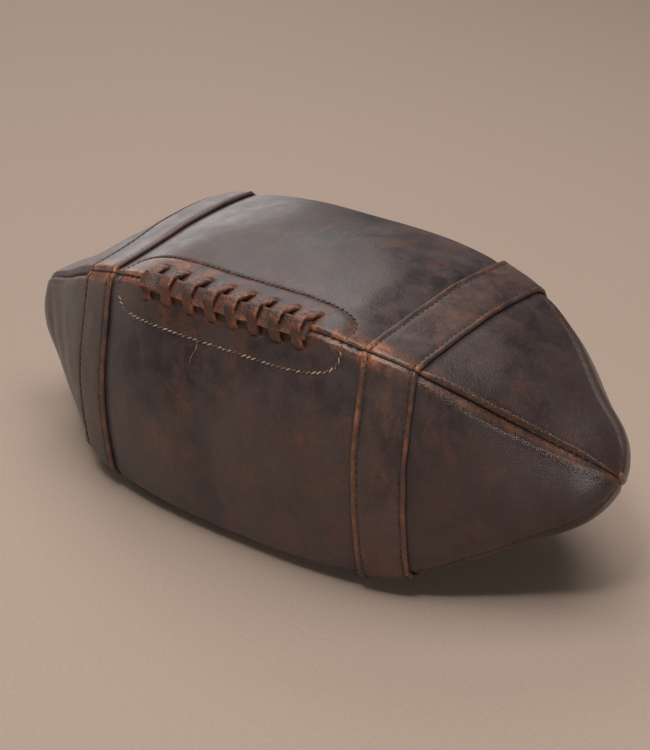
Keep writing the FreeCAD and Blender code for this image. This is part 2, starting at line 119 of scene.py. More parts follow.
# Each fold is (x, lean, height, width). Each slimming is the share by which a seam lies further in.
LEFT_SLIMMING = {"back_top": 0.24, "bottom_front": 0.055, "back_bottom": 0.0}
RIGHT_SLIMMING = {"back_top": 0.12, "bottom_front": 0.0, "back_bottom": 0.0}
PANELS = {"top": (90.0, "laced", "back_top"), "front": (180.0, "bottom_front", "laced"),
          "back": (0.0, "back_top", "back_bottom"), "bottom": (-90.0, "back_bottom", "bottom_front")}
QUARTER = math.radians(45.0)


# ---- the ball's form ----
def smooth(x, low, high):
    """Rises smoothly from 0 at low to 1 at high."""
    share = np.clip((np.asarray(x, float) - low) / (high - low), 0, 1)
    return share * share * (3 - 2 * share)


def hump(x, centre, width):
    """A bell curve, 1 at its centre."""
    return np.exp(-((np.asarray(x, float) - centre) / width) ** 2)


def station_x(u):
    """Place along the ball of the station u, which runs from -1 to 1 and is finer at the tips."""
    return HALF_LENGTH * np.sin(np.pi * np.asarray(u, float) / 2)


def x_station(x):
    return np.arcsin(np.clip(np.asarray(x, float) / HALF_LENGTH, -1, 1)) * 2 / np.pi


def profile(points):
    """Smooth curve through (x, radius) points, as a function of the station u."""
    us = x_station([p[0] for p in points])
    rs = np.array([p[1] for p in points], float)
    spans = np.diff(us)
    rises = np.diff(rs) / spans
    inner = (rises[:-1] * spans[1:] + rises[1:] * spans[:-1]) / (spans[1:] + spans[:-1])
    slopes = np.concatenate([rises[:1], inner, rises[-1:]])

    def radius(u):
        u = np.clip(u, us[0], us[-1])
        i = np.clip(np.searchsorted(us, u) - 1, 0, len(spans) - 1)
        s = (u - us[i]) / spans[i]
        return ((1 + 2 * s) * (1 - s) ** 2 * rs[i] + s * (1 - s) ** 2 * spans[i] * slopes[i]
                + s * s * (3 - 2 * s) * rs[i + 1] + s * s * (s - 1) * spans[i] * slopes[i + 1])

    return radius


plain_radius = profile([(-x, r) for x, r in reversed(SEAM_HALF[1:])] + list(SEAM_HALF))
laced_radius = profile(LACED_SEAM)


def seam_radius(seam, u):
    """Distance of a seam from the long axis."""
    if seam == "laced":
        return laced_radius(u)
    x = station_x(u)
    slimming = LEFT_SLIMMING[seam] * smooth(-x, 74, 120) + RIGHT_SLIMMING[seam] * smooth(x, 98, 124)
    return plain_radius(u) * (1 - slimming)


def roundness(panel, x):
    """How far a panel bulges between its seams: 0 is a flat face and 1 a circle's arc."""
    left, right = BAND_CENTRES["left"], BAND_CENTRES["right"]
    if panel == "top":
        return 0.33 - 0.26 * hump(x, left, 26) - 0.20 * hump(x, right, 26) \
            + 0.10 * smooth(x, 100, 135) - 0.25 * smooth(-x, 92, 128)
    if panel == "front":
        return 0.34 - 0.05 * (hump(x, left, 30) + hump(x, right, 30))
    if panel == "back":
        return 0.38 + 1.10 * smooth(x, 45, 125)
    return 0.30 - 0.04 * (hump(x, left, 26) + hump(x, right, 26)) \
        + 0.35 * smooth(x, 95, 132) + 0.15 * smooth(-x, 95, 132)


def raw_point(panel, u, t):
    """Points on a panel's face about the long axis; t runs from -1 to 1 between its seams."""
    middle, plus_seam, minus_seam = PANELS[panel]
    share = smooth(t, -1, 1)
    reach = seam_radius(plus_seam, u) * share + seam_radius(minus_seam, u) * (1 - share)
    b = roundness(panel, station_x(u))
    radius = reach * ((1 - b) * math.cos(QUARTER) / np.cos(QUARTER * t) + b)
    angle = math.radians(middle) + QUARTER * t
    return np.stack([station_x(u) + 0 * t, radius * np.cos(angle), radius * np.sin(angle)], -1)


def place(panel, u, t, depth):
    """Points under a panel's plain outer face, moved within the plane through the long axis.
    The row's origin applies, and the bottom panel lies flat on the floor."""
    u, t, depth = np.broadcast_arrays(*(np.asarray(v, float) for v in (u, t, depth)))
    point = raw_point(panel, u, t)
    step = 1e-3
    along = raw_point(panel, u + step, t) - raw_point(panel, u - step, t)
    across = raw_point(panel, u, t + step) - raw_point(panel, u, t - step)
    normal = unit(np.cross(along, across))
    normal *= np.sign((normal * point).sum(-1))[..., None]
    angle = math.radians(PANELS[panel][0]) + QUARTER * t
    outward = np.stack([0 * angle, np.cos(angle), np.sin(angle)], -1)
    in_plane = outward * (normal * outward).sum(-1)[..., None]
    in_plane[..., 0] = normal[..., 0]
    point = point - in_plane * (depth / (in_plane ** 2).sum(-1))[..., None]
    point[..., 2] += AXIS_HEIGHT
    if panel == "bottom":
        rise = point[..., 2] - FLOOR_GAP
        point[..., 2] = FLOOR_GAP + FLOOR_SOFT * np.logaddexp(0, rise / FLOOR_SOFT)
    return point


def laced_side(panel):
    """The sign of t at the laced seam."""
    return 1.0 if panel == "top" else -1.0


def half_width(seam, u):
    """Length of a panel's outer face from its middle to a seam, near that seam."""
    return QUARTER * seam_radius(seam, u) * ARC_STRETCH


def arc_to_t(panel, u, arc):
    """The t of a point at an arc's distance from the laced seam."""
    return laced_side(panel) * (1 - arc / half_width("laced", u))


def roll_size(panel, seam, x):
    """Shape of a panel's edge, where it rolls in at a seam: the width of the roll, how steeply it
    falls, and the softness of the bend."""
    x = np.asarray(x, float)
    if seam != "laced":
        return 2.2 + 0 * x, 1.0 + 0 * x, 0.55 + 0 * x
    right, left = smooth(x, 74, 96), smooth(-x, 58, 84)
    if panel == "top":
        return 1.5 + 0.7 * right + 1.6 * left, 1.0 - 0.1 * left, 0.40 + 0.10 * right + 0.35 * left
    width = 2.4 + 2.7 * right + 1.8 * left
    return width, 0.75 - 0.15 * right + 0.05 * left, 0.55 + 0.25 * right + 0.35 * left


def limited_roll(panel, seam, u):
    """The same, kept small where the panel narrows towards the tips."""
    width, slope, bend = roll_size(panel, seam, station_x(u))
    fit = np.minimum(1, 0.16 * half_width(seam, u) / width)
    return width * fit, slope, bend * fit


def roll_depth(distance, width, slope, bend):
    """Depth of a rolled edge at a distance from the seam."""
    bend = np.maximum(bend, 1e-6)
    return slope * bend * np.logaddexp(0, (width - distance) / bend)


def unit(vectors):
    """Vectors scaled to length 1."""
    return vectors / np.linalg.norm(vectors, axis=-1, keepdims=True)


def stray(*place_in_noise):
    """One value of smooth noise, from -1 to 1."""
    return noise.noise(Vector(place_in_noise))


def rumple(points, size, seed):
    """Smooth noise from -1 to 1 at points, with features of the given size."""
    flat = points.reshape(-1, 3) / size + seed * 17.31
    values = [noise.noise(Vector(p)) for p in flat.tolist()]
    return np.array(values).reshape(points.shape[:-1])


def hole_places(panel):
    """Each lace hole of a panel as (x, arc from the laced seam)."""
    if panel in LACE_REACH:
        for index in range(LACE_COUNT):
            yield LACE_START + LACE_PITCH * index, LACE_REACH[panel]


def oval_distance(x, arc):
    """Signed distance from the oval stitch line, negative inside."""
    def level(x, arc):
        share = (x - OVAL_CENTRE) / OVAL_HALF_LENGTH
        width = OVAL_HALF_WIDTH + OVAL_FLARE * np.clip(share, -1, 1) ** 2
        total = np.abs(share) ** OVAL_POWER + np.abs(arc / width) ** OVAL_POWER
        return total ** (1 / OVAL_POWER) - 1

    step = 0.05
    here = level(x, arc)
    slope_x = (level(x + step, arc) - here) / step
    slope_arc = (level(x, arc + step) - here) / step
    return here / np.maximum(np.hypot(slope_x, slope_arc), 0.01)


# ---- mesh builders ----
def new_object(name, points, faces, attributes, smooth_shading=True):
    """Mesh object with the given attributes at its points."""
    mesh = bpy.data.meshes.new(name)
    mesh.from_pydata((points * MM).tolist(), [], faces)
    for key, values in attributes.items():
        mesh.attributes.new(key, "FLOAT", "POINT").data.foreach_set("value", values.astype(np.float32))
    mesh.polygons.foreach_set("use_smooth", [smooth_shading] * len(mesh.polygons))
    mesh.update()
    obj = bpy.data.objects.new(name, mesh)
    bpy.context.scene.collection.objects.link(obj)
    return obj


def stand_in(obj, node):
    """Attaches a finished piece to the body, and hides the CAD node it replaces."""
    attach(obj, "root")
    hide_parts(node)
    return obj


def grid_faces(rows, columns, offset=0, flip=False, wrap=False):
    """Quads of a grid, whose columns may close into a loop."""
    i, j = np.meshgrid(np.arange(rows - 1), np.arange(columns if wrap else columns - 1), indexing="ij")
    k = (j + 1) % columns
    quads = np.stack([i * columns + j, (i + 1) * columns + j, (i + 1) * columns + k, i * columns + k], -1)
    quads = quads.reshape(-1, 4) + offset
    return (quads[:, ::-1] if flip else quads).tolist()


def grid_normals(points):
    """Unit normals at the points of a grid."""
    normal = np.cross(np.gradient(points, axis=0), np.gradient(points, axis=1))
    return normal / np.maximum(np.linalg.norm(normal, axis=-1, keepdims=True), 1e-9)


def shell(name, outer, thickness, attributes):
    """Closed piece of sheet material: an outer grid, the same grid set in, and its four edges."""
    rows, columns = outer.shape[:2]
    normal = grid_normals(outer)
    centre = np.array([0, 0, AXIS_HEIGHT])
    flip = (normal[rows // 2, columns // 2] * (outer[rows // 2, columns // 2] - centre)).sum() < 0
    if flip:
        normal = -normal
    inner = outer - normal * thickness
    points = np.concatenate([outer.reshape(-1, 3), inner.reshape(-1, 3)])
    count = rows * columns
    faces = grid_faces(rows, columns, 0, flip) + grid_faces(rows, columns, count, not flip)
    border = ([j for j in range(columns)] + [i * columns + columns - 1 for i in range(1, rows)]
              + [(rows - 1) * columns + j for j in range(columns - 2, -1, -1)]
              + [i * columns for i in range(rows - 2, 0, -1)])
    for a, b in zip(border, border[1:] + border[:1]):
        quad = [a, b, b + count, a + count]
        faces.append(quad[::-1] if flip else quad)
    doubled = {key: np.concatenate([v.reshape(-1), v.reshape(-1)]) for key, v in attributes.items()}
    return new_object(name, points, faces, doubled)


def tube(name, loops, attributes):
    """Closed piece swept through loops of points, with both ends capped."""
    rows, columns = loops.shape[:2]
    ends = np.stack([loops[0].mean(0), loops[-1].mean(0)])
    points = np.concatenate([loops.reshape(-1, 3), ends])
    faces = grid_faces(rows, columns, wrap=True)
    first, last = rows * columns, rows * columns + 1
    for j in range(columns):
        k = (j + 1) % columns
        faces.append([first, j, k])
        faces.append([last, (rows - 1) * columns + k, (rows - 1) * columns + j])
    extended = {key: np.concatenate([v.reshape(-1), [v[0].mean(), v[-1].mean()]])
                for key, v in attributes.items()}
    obj = new_object(name, points, faces, extended)
    if signed_volume(points, faces) < 0:
        obj.data.flip_normals()
    return obj


def signed_volume(points, faces):
    """Six times the enclosed volume, negative where the faces point inwards."""
    total = 0.0
    for face in faces:
        a = points[face[0]]
        for b, c in zip(face[1:], face[2:]):
            total += float(np.dot(a, np.cross(points[b], points[c])))
    return total


# ---- panels ----
def panel_columns(panel, u, count, flange, roll_steps=11):
    """For each station, t and depth of the columns of a panel: the turned-in edge, the roll, the
    open face, and the same on the other side. Returns t, depth, and the distances to both seams."""
    _, plus_seam, minus_seam = PANELS[panel]
    sides = []
    for seam, sign in ((minus_seam, -1.0), (plus_seam, 1.0)):
        span = half_width(seam, u)[:, None]
        width, slope, bend = (v[:, None] for v in limited_roll(panel, seam, u))
        turned = np.minimum(flange, 0.25 * span)
        wall = 0 * span + SEAM_GAP
        reach = width + 3.0 * bend
        distance = SEAM_GAP + reach * np.linspace(0, 1, roll_steps + 1)[None, :]
        rolled = roll_depth(distance, width, slope, bend)
        rolled = rolled - roll_depth(SEAM_GAP + reach, width, slope, bend)
        lip = rolled[:, :1]
        distance = np.concatenate([wall, wall, distance], 1)
        depth = np.concatenate([lip + turned, lip + 0.4 * turned, rolled], 1)
        sides.append((sign * (1 - distance / span), depth))
    low, high = sides[0][0][:, -1:], sides[1][0][:, -1:]
    open_t = low + (high - low) * np.linspace(0, 1, count + 2)[None, 1:-1]
    t = np.concatenate([sides[0][0], open_t, sides[1][0][:, ::-1]], 1)
    depth = np.concatenate([sides[0][1], 0 * open_t, sides[1][1][:, ::-1]], 1)
    plus_distance, minus_distance = seam_distances(panel, u[:, None], t)
    return t, depth, plus_distance, minus_distance


def seam_distances(panel, u, t):
    """Distances along a panel's face to its seams on the plus and minus sides."""
    _, plus_seam, minus_seam = PANELS[panel]
    return (1 - t) * half_width(plus_seam, u), (1 + t) * half_width(minus_seam, u)


def tip_fade(x):
    """Fades the leather's details out at the two tips."""
    return smooth(HALF_LENGTH - np.abs(x), 0.5, 14)


def slack(panel, x, t, points):
    """Depth of the slack leather's broad rumples, which fade out at the seams and tips."""
    distances = seam_distances(panel, x_station(x), t)
    fade = tip_fade(x) * smooth(np.minimum(*distances), 0.2, 5.0)
    broad, fine = rumple(points, BROAD_RUMPLE_SIZE, 3), rumple(points, FINE_RUMPLE_SIZE, 5)
    return fade * (-BROAD_RUMPLE * broad - FINE_RUMPLE * fine)


def panel_form(panel, x, t, points, arc):
    """Depth of a panel's leather beside its rolled edges: rumples, folds, grooves and dimples."""
    depth = slack(panel, x, t, points)
    detail = 0 * depth
    for centre in BAND_CENTRES.values():
        off = np.abs(x - centre) - BAND_WIDTH / 2
        detail += BAND_DIP * hump(np.maximum(off, 0), 0, 2.6)
    if panel in ("front", "top"):
        distance = oval_distance(x, arc)
        detail += OVAL_GROOVE * hump(distance, 0, 0.7) - OVAL_PUFF * smooth(-distance, 0.3, 3.5)
        for hole_x, hole_arc in hole_places(panel):
            off = np.hypot((x - hole_x) / 1.5, arc - hole_arc)
            detail += HOLE_DIMPLE * hump(off, 0, 1.3)
    if panel == "front":
        span = smooth(t, -0.9, -0.2) * (1 - smooth(t, 0.3, 0.95))
        for fold_x, lean, height, width in LEFT_FOLDS:
            middle = fold_x + lean * t
            detail += height * span * (0.5 * hump(x, middle + 1.8 * width, width) - hump(x, middle, width))
    return depth + detail * tip_fade(x)


def panel_wear(panel, x, points, arc, seam_side):
    """How worn the leather is, 0 being unworn: along seams, at the laces and inside the oval."""
    wear = 0.22 * hump(seam_side, 2.4, 1.6)
    if panel in ("front", "top"):
        along = smooth(x, -68, -50) * (1 - smooth(x, 76, 96))
        reach, most = (5.4, 1.25) if panel == "top" else (4.6, 0.95)
        patchy = 0.66 + 0.7 * rumple(points, 7.0, 41) + 0.5 * rumple(points, 2.6, 42)
        patchy = np.clip(patchy, 0.15, 1.0)
        wear = np.maximum(wear, most * patchy * along * hump(arc, 0, reach))
        patchy = 0.62 + 0.40 * rumple(points, 9.0, 43) + 0.3 * rumple(points, 2.6, 44)
        most, reach = (0.62, 2.0) if panel == "top" else (0.9, 3.0)
        right_end = most * patchy * smooth(x, 80, 92)
        wear = np.maximum(wear, right_end * hump(arc, 1.6, reach))
        for hole_x, hole_arc in hole_places(panel):
            off = np.hypot((x - hole_x) / 1.25, (arc - hole_arc - 0.5) / 1.1)
            strength = 0.62 + 0.5 * stray(hole_x * 0.3, hole_arc, 2.0)
            wear = np.maximum(wear, strength * hump(off, 0, 2.6))
        inside = smooth(-oval_distance(x, arc), -1, 2)
        most = 0.55 if panel == "top" else 0.26
        wear = np.maximum(wear, most * inside * np.clip(0.35 + 1.4 * rumple(points, 9.0, 47), 0, 1))
    if panel == "top":
        patchy = np.clip(0.6 + 1.1 * rumple(points, 5.0, 53), 0, 1)
        for strength, place_x, length, place_arc, width in RUBBED_PATCHES:
            rubbed = hump(x, place_x, length) * hump(arc, place_arc, width)
            wear = np.maximum(wear, strength * patchy * rubbed)
    if panel == "front":
        patchy = np.clip(0.3 + 1.3 * rumple(points, 14.0, 59), 0, 1)
        wear = np.maximum(wear, 0.22 * patchy * smooth(x, -70, -20) * smooth(arc, 20, 40))
    return wear


def panel_polish(panel, x, arc):
    """How much handling has polished the ridges beside the laced seam."""
    if panel not in ("front", "top"):
        return 0 * x
    ridge, _, _ = roll_size(panel, "laced", x)
    ends = 0.35 + 0.65 * smooth(x, 72, 90)
    return ends * hump(arc - ridge, 0.4, 1.6)


def make_panel(panel):
    """One leather panel, with its rolled edges, rumples, wear, polish and painted shade along its seams and
    at its lace holes.
    """
    rows, inner_columns = PANEL_GRID[panel]
    u = np.linspace(-END_STATION, END_STATION, rows)
    t, roll, plus_distance, minus_distance = panel_columns(panel, u, inner_columns, FLANGE)
    u_grid = np.repeat(u[:, None], t.shape[1], 1)
    x = station_x(u_grid)
    plain = place(panel, u_grid, t, 0.0)
    arc = plus_distance if panel == "top" else minus_distance
    seam_side = np.minimum(plus_distance, minus_distance)
    fade = smooth(seam_side, 0.2, 3.0)
    outer = place(panel, u_grid, t, roll + panel_form(panel, x, t, plain, arc) * fade)
    wear = panel_wear(panel, x, plain, arc, seam_side)
    # Painted shade: the leather is darkened in a thin line along each seam and round each lace hole.
    crease_shade = 1 - smooth(seam_side, 0.05, 0.7)
    polish = panel_polish(panel, x, arc)
    for hole_x, hole_arc in hole_places(panel):
        off = np.hypot((x - hole_x) / 1.3, arc - hole_arc)
        crease_shade = np.maximum(crease_shade, hump(off, 0, 1.5))
    marks_and_shade = {"wear": np.clip(wear, 0, 1.3), "crease_shade": crease_shade, "polish": polish}
    obj = shell(panel + "_leather", outer, LEATHER, marks_and_shade)
    return stand_in(obj, "panel_" + panel)


def inner_depth(panel, u, t):
    """Depth of the inner face of a panel's leather."""
    x = station_x(u)
    _, plus_seam, minus_seam = PANELS[panel]
    plus_distance, minus_distance = seam_distances(panel, u, t)
    arc = plus_distance if panel == "top" else minus_distance
    depth = panel_form(panel, x, t, place(panel, u, t, 0.0), arc) + LEATHER + 0.15
    for seam, distance in ((plus_seam, plus_distance), (minus_seam, minus_distance)):
        depth = depth + roll_depth(distance, *limited_roll(panel, seam, u))
    return depth, arc


def make_lining(panel):
    """Cotton cloth inside one panel, which steps over the lace patch."""
    rows, columns = LINING_GRID
    u = np.repeat(np.linspace(-LINING_STATION, LINING_STATION, rows)[:, None], columns, 1)
    _, plus_seam, minus_seam = PANELS[panel]
    low = -1 + LINING_MARGIN / half_width(minus_seam, u[:, :1])
    high = 1 - LINING_MARGIN / half_width(plus_seam, u[:, :1])
    t = low + (high - low) * np.linspace(0, 1, columns)[None, :]
    depth, arc = inner_depth(panel, u, t)
    if panel in ("front", "top"):
        beyond = smooth(oval_distance(station_x(u), arc), 2.5, 5.0)
        depth = depth + (PATCH_THICKNESS + 0.1) * (1 - beyond)
    obj = shell(panel + "_lining", place(panel, u, t, depth), LINING, {})
    return stand_in(obj, "lining_" + panel)


def make_lace_patch(panel):
    """Leather reinforcement under one half of the stitched oval."""
    along = np.sin(np.linspace(-1, 1, 120) * math.pi / 2)[:, None]
    x = OVAL_CENTRE + (OVAL_HALF_LENGTH + PATCH_OVERHANG) * along
    share = np.clip(np.abs(along), 0, 1)
    reach = (OVAL_HALF_WIDTH + OVAL_FLARE * share ** 2) * (1 - share ** OVAL_POWER) ** (1 / OVAL_POWER)
    width = np.maximum(reach + PATCH_OVERHANG - PATCH_MARGIN, 0.4)
    arc = PATCH_MARGIN + width * np.linspace(0, 1, 34)[None, :]
    x = np.repeat(x, arc.shape[1], 1)
    u = x_station(x)
    t = arc_to_t(panel, u, arc)
    depth, _ = inner_depth(panel, u, t)
    outer = place(panel, u, t, depth)
    obj = shell("lace_patch_%s_leather" % panel, outer, PATCH_THICKNESS - 0.1, {})
    return stand_in(obj, "lace_patch_" + panel)


def make_bladder():
    """Slack rubber bladder that follows the ball's form."""
    u = np.linspace(-BLADDER_STATION, BLADDER_STATION, 90)[:, None]
    across = np.linspace(-1, 1, 25)[None, :-1]
    turns = [raw_point(panel, u, across) for panel in ("back", "top", "front", "bottom")]
    loops = np.concatenate(turns, 1)
    radius = np.linalg.norm(loops[..., 1:], axis=-1, keepdims=True)
    soft = rumple(loops, 30.0, 61)[..., None]
    loops[..., 1:] *= np.maximum(BLADDER_SHARE * radius - BLADDER_INSET + 1.2 * soft, 2.5) / radius
    loops[..., 2] += AXIS_HEIGHT
    obj = tube("bladder_rubber", loops, {})
    return stand_in(obj, "bladder")


# ---- bands ----
def band_section():
    """Half of a band's cross-section as (distance in from its edge, height), from edge to middle:
    a folded edge, the stitch groove, and the flat middle."""
    return ((0.40, 0.05), (0.06, 0.20), (0.0, 0.55), (0.10, 0.98), (0.38, 1.32), (0.85, 1.52),
            (1.35, 1.46), (1.80, 1.20), (2.10, 1.02), (2.35, 1.00), (2.65, 1.12), (3.2, 1.30),
            (4.4, 1.38), (6.8, 1.40), (9.0, 1.42))


def make_band(name, centre, panel):
    """One leg of a band, over one panel."""
    half = band_section()
    across = [(-BAND_WIDTH / 2 + inset, height) for inset, height in half]
    across += [(BAND_WIDTH / 2 - inset, height) for inset, height in reversed(half)]
    across += [(BAND_WIDTH / 4, 0.05), (0.0, 0.05), (-BAND_WIDTH / 4, 0.05)]
    offsets = np.array([a for a, _ in across])
    heights = np.array([h for _, h in across])
    t, roll, _, _ = panel_columns(panel, np.array([float(x_station(centre))]), BAND_COLUMNS, BAND_FLANGE)
    t, roll = t[0], roll[0]
    t_grid = np.repeat(t[:, None], len(across), 1)
    x = centre + offsets[None, :] + band_wobble(centre, t)[:, None]
    plain = place(panel, x_station(x), t_grid, 0.0)
    seed = list(PANELS).index(panel) + (11 if name == "left" else 23)
    top_side = (heights > 0.3)[None, :]
    ripple = 0.08 * rumple(plain, 6.0, seed) + 0.12 * rumple(plain, 22.0, seed + 3)
    height = heights[None, :] + top_side * ripple
    depth = roll[:, None] * BAND_SEAM_SHARE + slack(panel, x, t_grid, plain) - height
    loops = place(panel, x_station(x), t_grid, depth)
    edge = BAND_WIDTH / 2 - np.abs(offsets)[None, :] + 0 * t_grid
    span = float(half_width("laced", x_station(centre)))
    seam_arc = np.maximum(1 - np.abs(t_grid), 0) * span
    patchy = np.clip(0.62 + 0.8 * rumple(plain, 9.0, seed + 5), 0.1, 1.0)
    edge_wear = BAND_EDGE_WEAR.get((name, panel), PLAIN_EDGE_WEAR)
    wear = edge_wear * patchy * hump(edge, 0.8, 1.0)
    wear = np.maximum(wear, 0.25 * patchy * smooth(rumple(plain, 16.0, seed + 9), 0.1, 0.6))
    laced = (panel in LACE_REACH) & (np.sign(t_grid) == laced_side(panel))
    seam_wear = np.where(laced, 1.3, 0.4) * hump(seam_arc, 1.5, 4.4)
    wear = np.maximum(wear, patchy * seam_wear)
    # Painted shade: the band is darkened where it dips into the seam crease.
    crease_shade = 1 - smooth(seam_arc, 0.05, 0.8)
    obj = tube("band_%s_%s_leather" % (name, panel), loops, {"wear": wear, "crease_shade": crease_shade})
    return stand_in(obj, "band_%s_%s" % (name, panel))


def band_wobble(centre, t):
    """How far a band strays sideways on its way round."""
    return np.array([0.28 * stray(v * 3.1, centre, 5.0) for v in t.tolist()])


# ---- stitches ----
def stitch_path(points, normals, pitch):
    """Middles, directions and normals of the stitches along a polyline."""
    steps = np.linalg.norm(np.diff(points, axis=0), axis=1)
    travelled = np.concatenate([[0], np.cumsum(steps)])
    count = max(int(travelled[-1] / pitch), 1)
    middles = (np.arange(count) + 0.5) * travelled[-1] / count

    def at(distance, values=points):
        return np.stack([np.interp(distance, travelled, values[:, k]) for k in range(3)], -1)

    return at(middles), unit(at(middles + 0.4) - at(middles - 0.4)), unit(at(middles, normals))


# Girth of a stitch at shares of its length.
STITCH_RINGS = ((-0.5, 0.35), (-0.44, 0.8), (-0.25, 1.0), (0.0, 1.06), (0.25, 1.0), (0.44, 0.8), (0.5, 0.35))
STITCH_SIDES = 8


def stitch_object(name, rows, length, radius, slant):
    """All stitches of one node: each is a rounded length of thread, a little slanted and sunk.
    rows is a list of (points, normals at the points, pitch). A loose thread is half as thick, and
    its pieces lie straight on."""
    points, faces = [], []
    angles = [2 * math.pi * k / STITCH_SIDES for k in range(STITCH_SIDES)]
    index = 0
    for path, normals, pitch in rows:
        loose = pitch == LOOSE_PITCH
        for middle, direction, normal in zip(*stitch_path(path, normals, pitch)):
            index += 1
            turn = 0.0 if loose else slant + 0.12 * stray(index * 0.37, 1.7, 0.3)
            grow = 0.5 if loose else 1 + 0.18 * stray(index * 0.53, 4.1, 0.9)
            side = unit(np.cross(normal, direction))
            along = direction * math.cos(turn) + side * math.sin(turn)
            side = np.cross(normal, along)
            base = len(points)
            for share, girth in STITCH_RINGS:
                thick = radius * girth * (0.5 if loose else 1.0)
                rise = 0.25 * radius - (0.0 if loose else 0.55 * (2 * share) ** 4 * radius)
                centre = middle + along * share * length * grow + normal * rise
                points += [centre + side * math.cos(angle) * thick + normal * math.sin(angle) * thick
                           for angle in angles]
            for ring in range(base, len(points) - STITCH_SIDES, STITCH_SIDES):
                for k in range(STITCH_SIDES):
                    n = (k + 1) % STITCH_SIDES
                    faces.append([ring + k, ring + n, ring + STITCH_SIDES + n, ring + STITCH_SIDES + k])
            faces.append([base + k for k in reversed(range(STITCH_SIDES))])
            faces.append([len(points) - STITCH_SIDES + k for k in range(STITCH_SIDES)])
    return new_object(name, np.array(points), faces, {})


def row_on_panel(panel, x, t, height):
    """A stitch row's points and normals, at a height over the slack leather."""
    u = x_station(x)
    height = height - slack(panel, x, t, place(panel, u, t, 0.0))
    low = place(panel, u, t, -height)
    high = place(panel, u, t, -height - 1.0)
    return low, high - low


def band_stitches(name, centre):
    """The two rows of stitches of one band, all the way round."""
    rows = []
    for panel in PANELS:
        t, roll, _, _ = panel_columns(panel, np.array([float(x_station(centre))]), BAND_COLUMNS, 0.0)
        t, roll = t[0][3:-3], roll[0][3:-3]
        for side in (-1, 1):
            x = centre + side * (BAND_WIDTH / 2 - STITCH_INSET) + band_wobble(centre, t)
            path, normals = row_on_panel(panel, x, t, BAND_STITCH_HEIGHT - BAND_SEAM_SHARE * roll)
            rows.append((path, normals, BAND_PITCH))
    obj = stitch_object("band_%s_thread" % name, rows, *BAND_STITCH)
    return stand_in(obj, "band_%s_stitches" % name)


def oval_path():
    """The oval's stitch line on one side of the laced seam, as x and arc."""
    angle = np.radians(np.linspace(0.3, 179.7, 1500))
    c, s = np.cos(angle), np.sin(angle)
    power = 2 / OVAL_POWER
    share = np.sign(c) * np.abs(c) ** power
    x = OVAL_CENTRE + OVAL_HALF_LENGTH * share
    arc = (OVAL_HALF_WIDTH + OVAL_FLARE * share ** 2) * np.abs(s) ** power
    return x, arc


def loose_thread():
    """A thread end that has come out of the oval and hangs down the front panel."""
    fall = np.linspace(0, 1, 60)
    x = -13.5 - 1.6 * fall + 0.7 * np.sin(5.5 * fall)
    arc = 17.6 + 12.5 * fall
    path, normals = row_on_panel("front", x, arc_to_t("front", x_station(x), arc), 0.02 + 0 * fall)
    return path, normals, LOOSE_PITCH


def oval_stitches(panel):
    """One half of the stitched oval round the laces."""
    x, arc = oval_path()
    drop = roll_depth(arc, *limited_roll(panel, "laced", x_station(x)))
    path, normals = row_on_panel(panel, x, arc_to_t(panel, x_station(x), arc), -OVAL_STITCH_SINK - drop)
    rows = [(path, normals, OVAL_PITCH)]
    if panel == "front":
        rows.append(loose_thread())
    obj = stitch_object("lace_oval_thread_" + panel, rows, *OVAL_STITCH)
    return stand_in(obj, "lace_patch_%s_stitches" % panel)


def seam_thread(minus_panel, plus_panel, seam):
    """Thread that shows in the fold of a long seam, as slanted stitches just inside it."""
    rows = []
    for panel, side in ((minus_panel, 1.0), (plus_panel, -1.0)):
        x = np.linspace(*SEAM_THREAD_SPAN, 400)
        u = x_station(x)
        width, slope, bend = limited_roll(panel, seam, u)
        distance = np.minimum(0.30 * width, 0.7)
        t = side * (1 - distance / half_width(seam, u))
        drop = roll_depth(distance, width, slope, bend)
        path, normals = row_on_panel(panel, x, t, -drop - SEAM_STITCH_SINK)
        rows.append((path, normals, SEAM_PITCH))
    obj = stitch_object("seam_thread_%s_%s" % (minus_panel, plus_panel), rows, *SEAM_STITCH)
    return stand_in(obj, "seam_stitches_%s_%s" % (minus_panel, plus_panel))


# ---- laces ----
def over_seam(x, arc, height):
    """Points near the laced seam: arc is positive on the top panel, negative on the front one."""
    u = x_station(x)
    height = height + OVAL_PUFF
    sides = []
    for panel in ("top", "front"):
        t = arc_to_t(panel, u, np.abs(arc))
        sides.append(place(panel, u, t, slack(panel, x, t, place(panel, u, t, 0.0)) - height))
    return np.where((np.asarray(arc) >= 0)[..., None], *sides)


def even_path(keys, count, softness):
    """Evenly spaced points along a softened polyline."""
    steps = np.concatenate([[0], np.cumsum(np.linalg.norm(np.diff(keys, axis=0), axis=1))])
    dense = np.linspace(0, steps[-1], count)
    path = np.stack([np.interp(dense, steps, keys[:, k]) for k in range(3)], -1)
    kernel = np.hanning(softness + 2)[1:-1]
    kernel /= kernel.sum()
    pad = softness // 2
    padded = np.concatenate([np.repeat(path[:1], pad, 0), path, np.repeat(path[-1:], pad, 0)])
    return np.stack([np.convolve(padded[:, k], kernel, "valid") for k in range(3)], -1)


